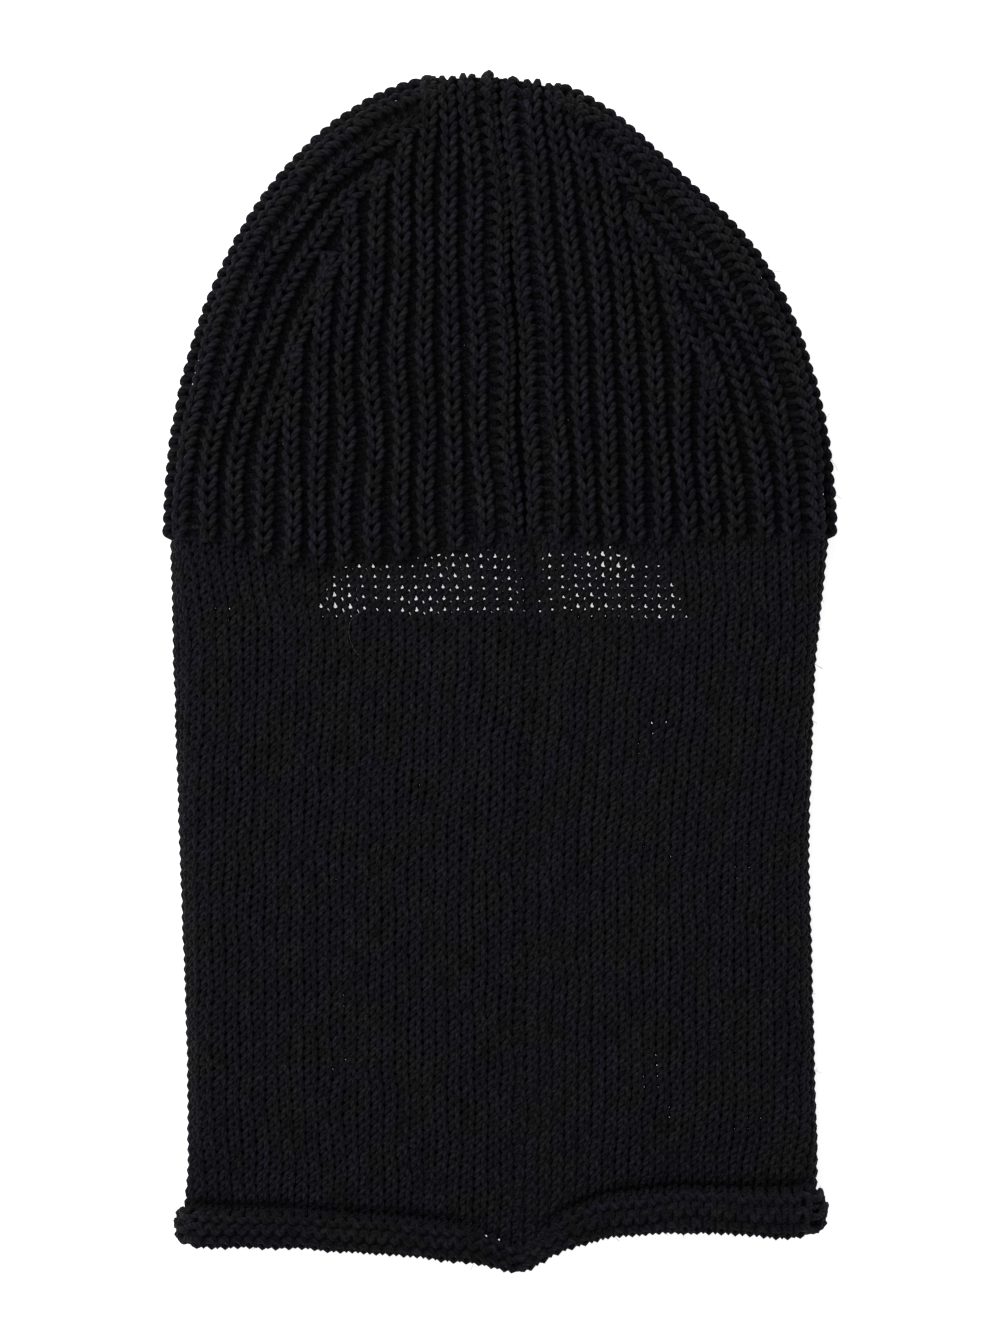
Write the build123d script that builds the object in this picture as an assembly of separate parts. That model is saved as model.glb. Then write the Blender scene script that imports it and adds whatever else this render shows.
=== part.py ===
from build123d import *
import os

# A knitted balaclava, laid flat on its front with the back of the head up.
# Millimetres. X runs across the width, +Y towards the top of the crown, +Z up from the surface.
# The origin is below the centre of the laid-flat garment, on the surface that it rests on.

# Crown: a thick ribbed cap, a rounded pillow that is open at its base.
CROWN_BASE_Y = 47.0
CROWN_LENGTH = 160.4
CROWN_HALF_WIDTH = 116.0
CROWN_TIP_LEAN = -8.0
CROWN_HEIGHT = 26.0
CROWN_WALL = 6.5

# Neck: a plain knitted tube. Its sides are smooth lines through these X values, at the Y values below.
NECK_HEIGHT = 24.0
NECK_WALL = 4.0
NECK_LEFT_X = [-113.9, -112.6, -110.5, -107.7, -107.9]
NECK_RIGHT_X = [113.6, 108.4, 106.2, 107.6, 109.5]
NECK_MIDDLE_Y = [0.0, -61.0, -132.0]

# Hem: the bottom edge rolls outwards by itself into a fat ring round the mouth.
HEM_TOP_LEFT = (-113.6, -183.0)
HEM_TOP_RIGHT = (113.2, -178.5)
HEM_BOTTOM = [(-113.6, -198.0), (-40.0, -200.5), (6.0, -207.4), (52.0, -196.5), (113.2, -192.5)]
HEM_ROLL = 12.5
HEM_GAP = 6.0
HEM_HEIGHT = 2 * HEM_ROLL + HEM_GAP
HEM_CORNER = 6.0
HEM_ROUND = 5.4
HEM_CORE = 4.5
HEM_CORE_CENTRE = (0.0, -189.3)
HEM_CORE_TURN = 1.2
HEM_CORE_HALF_LENGTH = 108.0

# Bound-off edge of the fabric: a chain that lies in the middle of the roll.
CHAIN_THICKNESS = 3.5

# Eye opening, in the front layer only, which is the lower one here. Its upper edge is an arch.
EYE_BOTTOM_Y = 18.8
EYE_CENTRE_X = 0.7
EYE_ARCH = [(65.0, 0.0), (61.5, 8.0), (54.0, 17.5), (36.0, 22.6), (0.0, 24.0)]
EYE_EDGE_WIDTH = 3.5

# Sewn seams: turned-in edges and sewing yarn stand up as ridges inside the garment.
SEAM_WIDTH = 6.0
SEAM_THICKNESS = 3.0
CROWN_SEAM_LINE = [(9.0, CROWN_BASE_Y), (6.0, 100.0), (4.0, 150.0), (0.0, 188.0)]
NECK_SEAM_LINE = [(12.0, 42.5), (12.0, 15.0), (6.5, -63.0), (7.0, -147.0), (6.0, -172.0)]
JOIN_SEAM_LENGTH = 4.0
JOIN_SEAM_THICKNESS = 2.4
JOIN_SEAM_GAP_HALF_WIDTH = 60.0

# Yarn that gathers the last stitches at the tip, drawn tight inside.
GATHER_YARN_LENGTH = 40.0
GATHER_YARN_THICKNESS = 3.0
GATHER_YARN_ROUND = 1.0
GATHER_YARN_CENTRE = (-4.0, 190.0)

# Blank care label, sewn into the centre back seam low on the inside.
LABEL_WIDTH = 22.0
LABEL_LENGTH = 36.0
LABEL_THICKNESS = 1.2
LABEL_Y = -130.0
LABEL_DROP = 0.4

# How far a cutting shape runs past the face that it cuts, and the size of a box wider than the garment.
OVERRUN = 8.0
WHOLE_WIDTH = 4 * CROWN_HALF_WIDTH
# Share of half the thickness that a rounded side takes, so that a thin flat rim is left between.
ROUND_SHARE = 0.96


def mirrored(points):
    """Points from the right-hand end over the middle to the left-hand end."""
    return points + [(-x, y) for x, y in reversed(points[:-1])]


def crown_outline(inset):
    """Plan of the crown, two quarter ellipses that meet at a tip off the centre, run on below the base."""
    tip = (CROWN_TIP_LEAN, CROWN_BASE_Y)
    length = CROWN_LENGTH - inset
    half_width = CROWN_HALF_WIDTH - inset
    low_y = CROWN_BASE_Y - OVERRUN
    right = EllipticalCenterArc(tip, half_width - CROWN_TIP_LEAN, length, 0, arc_size=90)
    left = EllipticalCenterArc(tip, half_width + CROWN_TIP_LEAN, length, 90, arc_size=90)
    corners = [(-half_width, CROWN_BASE_Y), (-half_width, low_y), (half_width, low_y), (half_width, CROWN_BASE_Y)]
    return make_face(Curve() + [right, left, Polyline(*corners)])


def hem_top_y(x):
    """Y of the straight upper side of the hem, which slopes a little across the width."""
    share = (x - HEM_TOP_LEFT[0]) / (HEM_TOP_RIGHT[0] - HEM_TOP_LEFT[0])
    return HEM_TOP_LEFT[1] + share * (HEM_TOP_RIGHT[1] - HEM_TOP_LEFT[1])


def neck_side(side_x, inset):
    """Points down one side of the neck, from the crown to the hem."""
    x_values = [x + inset for x in side_x]
    y_values = [CROWN_BASE_Y, *NECK_MIDDLE_Y, hem_top_y(x_values[-1])]
    return list(zip(x_values, y_values))


def neck_outline(inset, overrun):
    """Plan of the neck: two softly curved sides, and a lower end that lies along the hem."""
    left = neck_side(NECK_LEFT_X, inset)
    right = neck_side(NECK_RIGHT_X, -inset)
    top = [left[0], right[0]]
    bottom = [left[-1], right[-1]]
    if overrun > 0:
        top[1:1] = [(x, y + overrun) for x, y in top]
        bottom[1:1] = [(x, y - overrun) for x, y in bottom]
    return make_face(Curve() + [Spline(*left), Spline(*right), Polyline(*top), Polyline(*bottom)])


def pillow(outline, low_z, high_z):
    """Extrudes a plan outline and rounds the edges along its curved sides, not its cut ends."""
    slab = Pos(0, 0, low_z) * extrude(outline, high_z - low_z)
    curved = slab.edges().filter_by(GeomType.LINE, reverse=True)
    return fillet(curved, ROUND_SHARE * (high_z - low_z) / 2)


def make_crown():
    """Ribbed cap with the hollow for the head, cut square at its base."""
    outer = pillow(crown_outline(0), 0, CROWN_HEIGHT)
    hollow = pillow(crown_outline(CROWN_WALL), CROWN_WALL, CROWN_HEIGHT - CROWN_WALL)
    above_base = Pos(0, CROWN_BASE_Y + WHOLE_WIDTH / 2, 0) * Box(WHOLE_WIDTH, WHOLE_WIDTH, WHOLE_WIDTH)
    return (outer - hollow) & above_base


def eye_outline(grow):
    """Plan of the eye opening, or of its outer edge when grown: flat below, an arch above."""
    top = len(EYE_ARCH) - 1
    right = [(x + grow, y + grow * index / top) for index, (x, y) in enumerate(EYE_ARCH)]
    right[0] = (right[0][0], -grow)
    right[top] = (0, right[top][1])
    arch = [(x + EYE_CENTRE_X, y + EYE_BOTTOM_Y) for x, y in mirrored(right)]
    return make_face(Curve() + [Spline(*arch), Line(arch[-1], arch[0])])


def make_neck():
    """Plain tube with the eye opening cut through its front layer, with room for its edges."""
    outer = pillow(neck_outline(0, 0), 0, NECK_HEIGHT)
    hollow = pillow(neck_outline(NECK_WALL, OVERRUN), NECK_WALL, NECK_HEIGHT - NECK_WALL)
    eye_cut = Pos(0, 0, -OVERRUN) * extrude(eye_outline(EYE_EDGE_WIDTH), NECK_WALL + OVERRUN)
    return outer - hollow - eye_cut


def make_eye_edges():
    """Edge round the eye opening in two pieces: the arch above and the straight edge below."""
    ring = extrude(eye_outline(EYE_EDGE_WIDTH), NECK_WALL) - extrude(eye_outline(0), NECK_WALL)
    lower_y = EYE_BOTTOM_Y - EYE_EDGE_WIDTH / 2
    lower_half = Pos(0, lower_y, NECK_WALL / 2) * Box(WHOLE_WIDTH, EYE_EDGE_WIDTH, NECK_WALL)
    return ring - lower_half, ring & lower_half


def hem_core(half_height, half_length, half_thickness):
    """Upright frame of square section that follows the middle of the roll."""
    outer = Box(2 * (half_length + half_thickness), 2 * half_thickness, 2 * (half_height + half_thickness))
    inner = Box(2 * (half_length - half_thickness), 4 * half_thickness, 2 * (half_height - half_thickness))
    return Pos(*HEM_CORE_CENTRE, HEM_HEIGHT / 2) * Rot(0, 0, HEM_CORE_TURN) * (outer - inner)


def make_hem():
    """Rolled hem: a fat ring round the mouth, with a core that holds the bound-off chain."""
    rim = Polyline(HEM_BOTTOM[0], HEM_TOP_LEFT, HEM_TOP_RIGHT, HEM_BOTTOM[-1])
    outline = make_face(Curve() + [Spline(*HEM_BOTTOM), rim])
    ring = extrude(outline, HEM_HEIGHT)
    ring = fillet(ring.edges().filter_by(Axis.Z), HEM_CORNER)
    level = ring.edges().filter_by_position(Axis.Z, 0, 0) + ring.edges().filter_by_position(
        Axis.Z, HEM_HEIGHT, HEM_HEIGHT
    )
    ring = fillet(level, HEM_ROUND)
    mouth_width = HEM_TOP_RIGHT[0] - HEM_TOP_LEFT[0] - 2 * HEM_ROLL
    mouth = Pos(0, HEM_CORE_CENTRE[1], HEM_HEIGHT / 2) * Box(mouth_width, WHOLE_WIDTH, HEM_GAP)
    core_height = (HEM_HEIGHT - HEM_ROLL) / 2
    core = hem_core(core_height, HEM_CORE_HALF_LENGTH, HEM_CORE / 2)
    chain = hem_core(core_height, HEM_CORE_HALF_LENGTH, CHAIN_THICKNESS / 2)
    return ring - mouth - core, chain


def seam_ridge(line, top_z):
    """Flat ridge along a seam, hanging from the inside face of the back layer."""
    left = [(x - SEAM_WIDTH / 2, y) for x, y in line]
    right = [(x + SEAM_WIDTH / 2, y) for x, y in line]
    ends = [Line(left[0], right[0]), Line(left[-1], right[-1])]
    outline = make_face(Curve() + [Spline(*left), Spline(*right), *ends])
    return Pos(0, 0, top_z - SEAM_THICKNESS) * extrude(outline, SEAM_THICKNESS)


def make_join_seam():
    """Ridge inside the join of crown and neck, which stops at each side of the eye opening."""
    inner_wall = NECK_WALL + JOIN_SEAM_THICKNESS
    band = pillow(neck_outline(NECK_WALL, 0), NECK_WALL, NECK_HEIGHT - NECK_WALL)
    band -= pillow(neck_outline(inner_wall, OVERRUN), inner_wall, NECK_HEIGHT - inner_wall)
    slice_centre = (0, CROWN_BASE_Y - JOIN_SEAM_LENGTH / 2, NECK_HEIGHT / 2)
    ring = band & Pos(*slice_centre) * Box(WHOLE_WIDTH, JOIN_SEAM_LENGTH, NECK_HEIGHT)
    eye_gap = Box(2 * JOIN_SEAM_GAP_HALF_WIDTH, WHOLE_WIDTH, NECK_HEIGHT)
    return ring - Pos(EYE_CENTRE_X, 0, 0) * eye_gap


def make_gather_yarn():
    """Yarn drawn through the last stitches, lying inside under the tip of the crown."""
    top_z = CROWN_HEIGHT - CROWN_WALL
    bar = Box(GATHER_YARN_LENGTH, GATHER_YARN_THICKNESS, GATHER_YARN_THICKNESS)
    bar = fillet(bar.edges().filter_by(Axis.Z), GATHER_YARN_ROUND)
    return Pos(*GATHER_YARN_CENTRE, top_z - GATHER_YARN_THICKNESS / 2) * bar


def make_label():
    """Small woven tab with its sewn side against the neck seam."""
    seam_side = NECK_SEAM_LINE[3][0] + SEAM_WIDTH / 2 + LABEL_DROP
    z = NECK_HEIGHT - NECK_WALL - LABEL_DROP - LABEL_THICKNESS / 2
    return Pos(seam_side + LABEL_WIDTH / 2, LABEL_Y, z) * Box(LABEL_WIDTH, LABEL_LENGTH, LABEL_THICKNESS)


upper_edge, lower_edge = make_eye_edges()
hem, chain = make_hem()
pieces = {
    "crown_rib_panel": make_crown(),
    "neck_tube_panel": make_neck(),
    "rolled_hem": hem,
    "hem_bind_off_chain": chain,
    "eye_opening_upper_edge": upper_edge,
    "eye_opening_lower_edge": lower_edge,
    "crown_back_seam": seam_ridge(CROWN_SEAM_LINE, CROWN_HEIGHT - CROWN_WALL),
    "neck_back_seam": seam_ridge(NECK_SEAM_LINE, NECK_HEIGHT - NECK_WALL),
    "crown_to_neck_seam": make_join_seam(),
    "crown_gather_yarn": make_gather_yarn(),
    "care_label": make_label(),
}

os.makedirs("parts", exist_ok=True)
for name, piece in pieces.items():
    export_step(piece, f"parts/{name}.step")
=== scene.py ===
import math

import bpy
import numpy as np
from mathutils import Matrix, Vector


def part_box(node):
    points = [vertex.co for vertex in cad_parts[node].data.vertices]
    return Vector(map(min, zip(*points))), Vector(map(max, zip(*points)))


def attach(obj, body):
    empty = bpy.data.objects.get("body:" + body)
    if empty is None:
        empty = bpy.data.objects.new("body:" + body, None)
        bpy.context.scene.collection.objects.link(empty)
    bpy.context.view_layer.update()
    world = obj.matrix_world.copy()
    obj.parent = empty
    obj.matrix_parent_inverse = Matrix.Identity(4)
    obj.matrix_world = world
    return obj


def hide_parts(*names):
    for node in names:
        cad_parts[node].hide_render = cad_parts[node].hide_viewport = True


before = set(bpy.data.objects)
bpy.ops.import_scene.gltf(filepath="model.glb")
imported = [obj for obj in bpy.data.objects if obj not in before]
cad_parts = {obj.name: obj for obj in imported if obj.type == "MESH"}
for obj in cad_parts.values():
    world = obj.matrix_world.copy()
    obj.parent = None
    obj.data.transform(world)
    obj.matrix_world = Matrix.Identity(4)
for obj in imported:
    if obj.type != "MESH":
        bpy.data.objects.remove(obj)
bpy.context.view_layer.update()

# A knitted balaclava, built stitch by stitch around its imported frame. Sizes here are in millimetres,
# and meshes are scaled to metres when they are made.
MM = 0.001


def node_box(node):
    """Lowest and highest corner of a CAD node, in millimetres."""
    low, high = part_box(node)
    return np.array(low) / MM, np.array(high) / MM


CROWN_LOW, CROWN_HIGH = node_box("crown_rib_panel")
NECK_HIGH = node_box("neck_tube_panel")[1]
HEM_LOW, HEM_HIGH = node_box("rolled_hem")
EYE_LOW, EYE_HIGH = node_box("eye_opening_upper_edge")
LABEL_LOW, LABEL_HIGH = node_box("care_label")
BASE_Y = CROWN_LOW[1]

# Yarn and stitch sizes. The lower, front layer lies relaxed, and its fuller yarn closes it.
NECK_YARN_RADIUS = 1.13
HEM_YARN_RADIUS = 1.33
FRONT_YARN_RADIUS = 1.45
CROWN_YARN_RADIUS = 1.25
EDGE_YARN_RADIUS = 0.9
FIBRE_RADIUS = 0.055
HAIR_RADIUS = 0.14
LABEL_YARN_RADIUS = 0.25
YARN_NARROWING = 0.88
TUBE_SIDES = 6
PLY_PITCH = 5.0
PLIES = 3
LONGEST_YARN_SHIFT = 900

# Plain knit of the neck: stitches round the tube and down it.
NECK_WALES = 100
NECK_COURSES = 65
POINTS_PER_WALE = 12
LOOP_CURL = 1.6
LOOP_GATHER = 0.25
LOOP_REACH = 0.80
LOOP_DEPTH = 1.05
LOOP_DRIFT_ROUND = 0.13
LOOP_DRIFT_DOWN = 0.16
LOOP_UNEVENNESS = 0.12
HEM_LOOP_CURL = 0.6
HEM_LOOP_REACH = 0.75
HEM_LOOP_DEPTH = 1.35
NECK_BANDS = 5
NECK_WALL = 4.0
FRONT_MIDDLE_Z = 2.95
BACK_MIDDLE_Z = NECK_HIGH[2] - NECK_WALL / 2
NECK_RIPPLE_WIDE = 0.9
NECK_RIPPLE_FINE = 0.35

# Side edges of the neck, at the outside of the fabric, at these heights down the tube.
NECK_SIDE_Y = [BASE_Y, 0.0, -61.0, -132.0, -172.0, -186.0]
NECK_LEFT_X = [-113.6, -112.4, -110.4, -107.8, -107.4, -109.2]
NECK_RIGHT_X = [113.3, 108.4, 106.4, 108.4, 109.4, 108.8]

# Centre-back seam: where it runs, and how the two edges turn in.
SEAM_Y = [200.0, 150.0, 100.0, BASE_Y, 15.0, -63.0, -147.0, -207.0]
SEAM_X = [-1.0, 4.0, 6.0, 9.0, 11.5, 6.5, 7.0, 6.0]
SEAM_TURN_RADIUS = 2.1
SEAM_ALLOWANCE_WALES = 1.6
HEM_ALLOWANCE_WALES = 1.0
SEAM_VALLEY_DEPTH = 1.5
SEAM_VALLEY_WIDTH = 6.0

# Rolled hem: the roll's lower edge across the back and the front, its size, its ends and its yarn core,
# and the crease above it.
HEM_EDGE_X = [-113.0, -105.0, -69.0, -38.0, -22.0, -7.0, 2.0, 6.5, 11.0, 19.0, 34.0, 60.0, 100.0, 113.0]
HEM_EDGE_Y = [-195.0, -197.5, -197.8, -199.8, -201.5, -203.1, -205.4, -206.8, -204.6, -199.3, -194.3,
              -191.8, -194.2, -192.0]
HEM_FRONT_EDGE_Y = [-197.0, -193.5]
HEM_SAMPLE_RISE = 12.0
HEM_BLEND_START = 140.0
HEM_BLEND_END = 184.0
BACK_HEM_DROP = 1.8
ROLL_COURSES = 6
ROLL_WRAP = math.radians(318)
ROLL_RADIUS = 4.4
BACK_ROLL_X = [-113.0, -98.0, -60.0, 0.0, 30.0, 70.0, 113.0]
BACK_ROLL_RADIUS = [5.2, 4.2, 3.9, 4.0, 4.7, 5.1, 6.4]
SIDE_ROLL_SQUEEZE = 0.65
HEM_REST_GAP = 0.4
ROLL_SEAM_RADIUS = 2.6
ROLL_SEAM_REACH = 15.0
ROLL_UNEVENNESS = 0.3
ROLL_END_X = (99.0, 109.0)
ROLL_END_CALM = 0.65
ROLL_CORE_STRANDS = 7
ROLL_CORE_SHARE = 0.58
CORE_POINTS = 500
HEM_CREASE_DEPTH = 4.2
HEM_CREASE_WIDTH = 0.55
HEM_CREASE_SHIFT = 0.2


def smooth_noise(seed, wavelength, waves=9):
    """A smooth random field over a plane, mostly within -1 and 1, the same for the same seed."""
    random = np.random.default_rng(seed)
    headings = random.uniform(0, 2 * math.pi, waves)
    lengths = wavelength * random.uniform(0.7, 1.7, waves)
    phases = random.uniform(0, 2 * math.pi, waves)

    def field(x, y):
        total = 0
        for heading, length, phase in zip(headings, lengths, phases):
            across = x * math.cos(heading) + y * math.sin(heading)
            total = total + np.sin(2 * math.pi * across / length + phase)
        return total / math.sqrt(2 * waves)

    return field


def blend_step(value, low, high):
    """0 below low, 1 above high, and a smooth step between."""
    share = np.clip((value - low) / (high - low), 0, 1)
    return share * share * (3 - 2 * share)


def unit(vectors):
    """Vectors scaled to length one."""
    return vectors / np.maximum(np.linalg.norm(vectors, axis=-1, keepdims=True), 1e-9)


def smooth_curve(xs, ys, spacing=2.0, reach=7):
    """A function through the points whose corners are rounded off."""
    order = np.argsort(xs)
    xs, ys = np.array(xs, float)[order], np.array(ys, float)[order]
    grid = np.arange(xs[0] - 20, xs[-1] + 20, spacing)
    values = np.interp(grid, xs, ys)
    kernel = np.hanning(2 * reach + 3)[1:-1]
    padded = np.pad(values, reach, mode="edge")
    smooth = np.convolve(padded, kernel / kernel.sum(), mode="valid")
    return lambda x: np.interp(x, grid, smooth)


seam_x_at = smooth_curve(SEAM_Y, SEAM_X)
neck_left_at = smooth_curve(NECK_SIDE_Y, NECK_LEFT_X, reach=5)
neck_right_at = smooth_curve(NECK_SIDE_Y, NECK_RIGHT_X, reach=5)
hem_edge_at = smooth_curve(HEM_EDGE_X, HEM_EDGE_Y, spacing=1.0, reach=3)
back_roll_at = smooth_curve(BACK_ROLL_X, BACK_ROLL_RADIUS, reach=5)

# -------- yarn meshes


def tube_rings(points, normals, starts, ends, radii, sides):
    """Ring of vertices round every point. Yarn between its neighbours is narrower than it is tall."""
    before = np.arange(len(points)) - 1
    after = np.arange(len(points)) + 1
    before[starts] = starts
    after[ends] = ends
    tangent = unit(points[after] - points[before])
    side = unit(np.cross(tangent, normals))
    lift = np.cross(side, tangent)
    angle = 2 * math.pi * np.arange(sides) / sides
    ring = side[:, None, :] * (np.cos(angle) * YARN_NARROWING)[None, :, None]
    ring = ring + lift[:, None, :] * (np.sin(angle) / YARN_NARROWING)[None, :, None]
    return points[:, None, :] + ring * radii[:, None, None]


def yarn_lengths(points, starts, counts):
    """Millimetres along the yarns, counted from a random start on each strand."""
    step = np.linalg.norm(np.diff(points, axis=0, prepend=points[:1]), axis=1)
    step[starts] = 0
    shifts = np.random.default_rng(len(points)).uniform(0, LONGEST_YARN_SHIFT, len(counts))
    return np.cumsum(step) + np.repeat(shifts, counts)


def tube_faces(starts, ends, along, sides):
    """Sides and end caps of the tubes: vertices at the faces' corners, face sizes and UVs."""
    first = np.setdiff1d(np.arange(len(along)), ends)
    corner = np.arange(sides)
    following = (corner + 1) % sides
    near, far = first[:, None] * sides, (first[:, None] + 1) * sides
    quads = np.stack([near + corner, near + following, far + following, far + corner], axis=-1)
    quad_uv = np.zeros((len(first), sides, 4, 2))
    quad_uv[..., 1] = np.stack([corner, corner + 1, corner + 1, corner], axis=-1) / sides
    quad_uv[:, :, 0:2, 0] = along[first][:, None, None]
    quad_uv[:, :, 2:4, 0] = along[first + 1][:, None, None]
    caps = np.concatenate([starts[:, None] * sides + corner[::-1], ends[:, None] * sides + corner])
    cap_uv = np.zeros((len(caps), sides, 2))
    cap_uv[..., 0] = np.concatenate([along[starts], along[ends]])[:, None]
    corners = np.concatenate([quads.ravel(), caps.ravel()])
    sizes = np.concatenate([np.full(len(first) * sides, 4), np.full(len(caps), sides)])
    return corners, sizes, np.concatenate([quad_uv.ravel(), cap_uv.ravel()])


def tube_mesh(name, strands, radius, sides=TUBE_SIDES):
    """One mesh of closed yarn tubes. A strand is (points, fabric normals) in millimetres.

    The radius is a number, or a function of the fabric normals. The "yarn" UV layer holds millimetres
    along the yarn and turns round it."""
    points = np.concatenate([p for p, _ in strands])
    normals = np.concatenate([n for _, n in strands])
    counts = np.array([len(p) for p, _ in strands])
    starts = np.concatenate([[0], np.cumsum(counts)[:-1]])
    ends = starts + counts - 1
    radii = radius(normals) if callable(radius) else np.full(len(points), radius)
    vertices = tube_rings(points, normals, starts, ends, radii, sides)
    corners, sizes, uv = tube_faces(starts, ends, yarn_lengths(points, starts, counts), sides)
    mesh = bpy.data.meshes.new(name)
    mesh.vertices.add(len(points) * sides)
    mesh.vertices.foreach_set("co", (vertices.ravel() * MM).astype(np.float32))
    mesh.loops.add(len(corners))
    mesh.loops.foreach_set("vertex_index", corners.astype(np.int32))
    mesh.polygons.add(len(sizes))
    mesh.polygons.foreach_set("loop_start", (np.cumsum(sizes) - sizes).astype(np.int32))
    mesh.update(calc_edges=True)
    mesh.uv_layers.new(name="yarn").data.foreach_set("uv", uv.astype(np.float32))
    mesh.polygons.foreach_set("use_smooth", np.ones(len(sizes), bool))
    mesh.validate()
    piece = bpy.data.objects.new(name, mesh)
    bpy.context.scene.collection.objects.link(piece)
    return piece


def finish_piece(piece, material, slot, *nodes):
    """Gives a piece its material and its body, and hides the CAD nodes that it stands for. The slot is not
    used.
    """
    piece.data.materials.append(material)
    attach(piece, "root")
    if nodes:
        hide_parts(*nodes)
    return piece


def split_where(strand, keep):
    """The stretches of a strand whose points are kept."""
    points, normals = strand
    edges = np.flatnonzero(np.diff(np.concatenate([[0], keep.astype(int), [0]])))
    return [
        (points[a:b], normals[a:b]) for a, b in zip(edges[::2], edges[1::2]) if b - a >= 3
    ]


# -------- neck surface


def ring_section(left, right, low, high, distance):
    """Point, outward normal and direction round a flattened ring, at a distance from above its middle."""
    radius = (high - low) / 2
    half = (right - left) / 2 - radius
    bend = math.pi * radius
    around = np.mod(distance, 4 * half + 2 * bend)
    turn = np.clip((around - half) / radius, 0, math.pi)
    turn = turn + np.clip((around - 3 * half - bend) / radius, 0, math.pi)
    run = np.clip(around, 0, half) - np.clip(around - half - bend, 0, 2 * half)
    run = run + np.clip(around - 3 * half - 2 * bend, 0, half)
    x = (left + right) / 2 + run + radius * np.sin(turn)
    z = (low + high) / 2 + radius * np.cos(turn)
    zero = np.zeros_like(x)
    normal = np.stack([np.sin(turn), zero, np.cos(turn)], axis=-1)
    forward = np.stack([np.cos(turn), zero, -np.sin(turn)], axis=-1)
    return x, z, normal, forward


def neck_levels(y):
    """Heights of the two layers' middles: near the hem the front layer rises on to its roll."""
    near_hem = blend_step(-y, HEM_BLEND_START, HEM_BLEND_END)
    front = FRONT_MIDDLE_Z + near_hem * (2 * ROLL_RADIUS + HEM_REST_GAP)
    back = BACK_MIDDLE_Z - near_hem * BACK_HEM_DROP
    return front, back


def neck_section_at(y, wale):
    """Ring section of the neck at height y, for positions counted in wales from the seam."""
    half_wall = NECK_WALL / 2
    left, right = neck_left_at(y) + half_wall, neck_right_at(y) - half_wall
    low, high = neck_levels(y)
    radius = (high - low) / 2
    perimeter = 2 * (right - left - 2 * radius) + 2 * math.pi * radius
    pitch = perimeter / NECK_WALES
    from_start = wale * pitch
    from_end = (NECK_WALES - wale) * pitch
    edge = np.minimum(from_start, from_end)
    fold = np.clip((SEAM_TURN_RADIUS - edge) / SEAM_TURN_RADIUS, 0, math.pi)
    tucked = np.maximum(SEAM_TURN_RADIUS * (1 - math.pi) - edge, 0)
    lateral = np.maximum(edge, SEAM_TURN_RADIUS) - SEAM_TURN_RADIUS * np.sin(fold) + tucked
    depth = SEAM_TURN_RADIUS * (1 - np.cos(fold))
    sign = np.where(from_start < from_end, 1.0, -1.0)
    middle = (left + right) / 2
    distance = seam_x_at(y) - middle + sign * lateral
    depth = depth + SEAM_VALLEY_DEPTH * np.exp(-((lateral / SEAM_VALLEY_WIDTH) ** 2))
    x, z, normal, forward = ring_section(left, right, low, high, distance)
    place = np.stack([x, y, z], axis=-1) - normal * depth[..., None]
    facing = normal * np.cos(fold)[..., None] - forward * (sign * np.sin(fold))[..., None]
    return place, facing


wave_wide = smooth_noise(11, 70.0)
wave_fine = smooth_noise(12, 26.0)
drift_x = smooth_noise(13, 5.0)
drift_y = smooth_noise(14, 6.0)


def neck_point(wale, course):
    """Middle of the neck fabric and its outward normal, for wales round it and courses down it."""
    hem_y = np.full_like(wale, HEM_LOW[1] + HEM_SAMPLE_RISE)
    at_hem, facing_hem = neck_section_at(hem_y, wale)
    back_share = blend_step(facing_hem[..., 2], -0.6, 0.6)
    across = (at_hem[..., 0] - HEM_LOW[0]) / (HEM_HIGH[0] - HEM_LOW[0])
    front_edge = HEM_FRONT_EDGE_Y[0] + across * (HEM_FRONT_EDGE_Y[1] - HEM_FRONT_EDGE_Y[0])
    edge_y = front_edge + back_share * (hem_edge_at(at_hem[..., 0]) - front_edge)
    near_seam = np.exp(-(((at_hem[..., 0] - SEAM_X[-1]) / ROLL_SEAM_REACH) ** 2)) * back_share
    roll = ROLL_RADIUS + back_share * (back_roll_at(at_hem[..., 0]) - ROLL_RADIUS)
    roll = roll - near_seam * (roll - ROLL_SEAM_RADIUS)
    thickness = roll + HEM_YARN_RADIUS + HEM_LOOP_DEPTH
    turn_y = edge_y + thickness
    share = np.clip(course / NECK_COURSES, 0, 1)
    y = BASE_Y + share * (turn_y - BASE_Y)
    place, facing = neck_section_at(y, wale)
    ripple = NECK_RIPPLE_WIDE * wave_wide(place[..., 0], y) + NECK_RIPPLE_FINE * wave_fine(place[..., 0], y)
    place[..., 2] += ripple * blend_step(facing[..., 2], 0.2, 0.9)
    angle = np.maximum(course - NECK_COURSES, 0) / ROLL_COURSES * ROLL_WRAP
    lift = roll * (1 - np.cos(angle)) * (1 - SIDE_ROLL_SQUEEZE * np.abs(facing[..., 0]))
    crease = NECK_COURSES * (1 - thickness / (BASE_Y - turn_y)) - HEM_CREASE_SHIFT
    crease_depth = HEM_CREASE_DEPTH * (1 - near_seam) * facing[..., 2] ** 2
    lift = lift - crease_depth * np.exp(-(((course - crease) / HEM_CREASE_WIDTH) ** 2))
    place = place + facing * lift[..., None]
    place[..., 1] -= roll * np.sin(angle)
    rolled = facing * np.cos(angle)[..., None]
    rolled[..., 1] += np.sin(angle)
    return place, rolled


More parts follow.
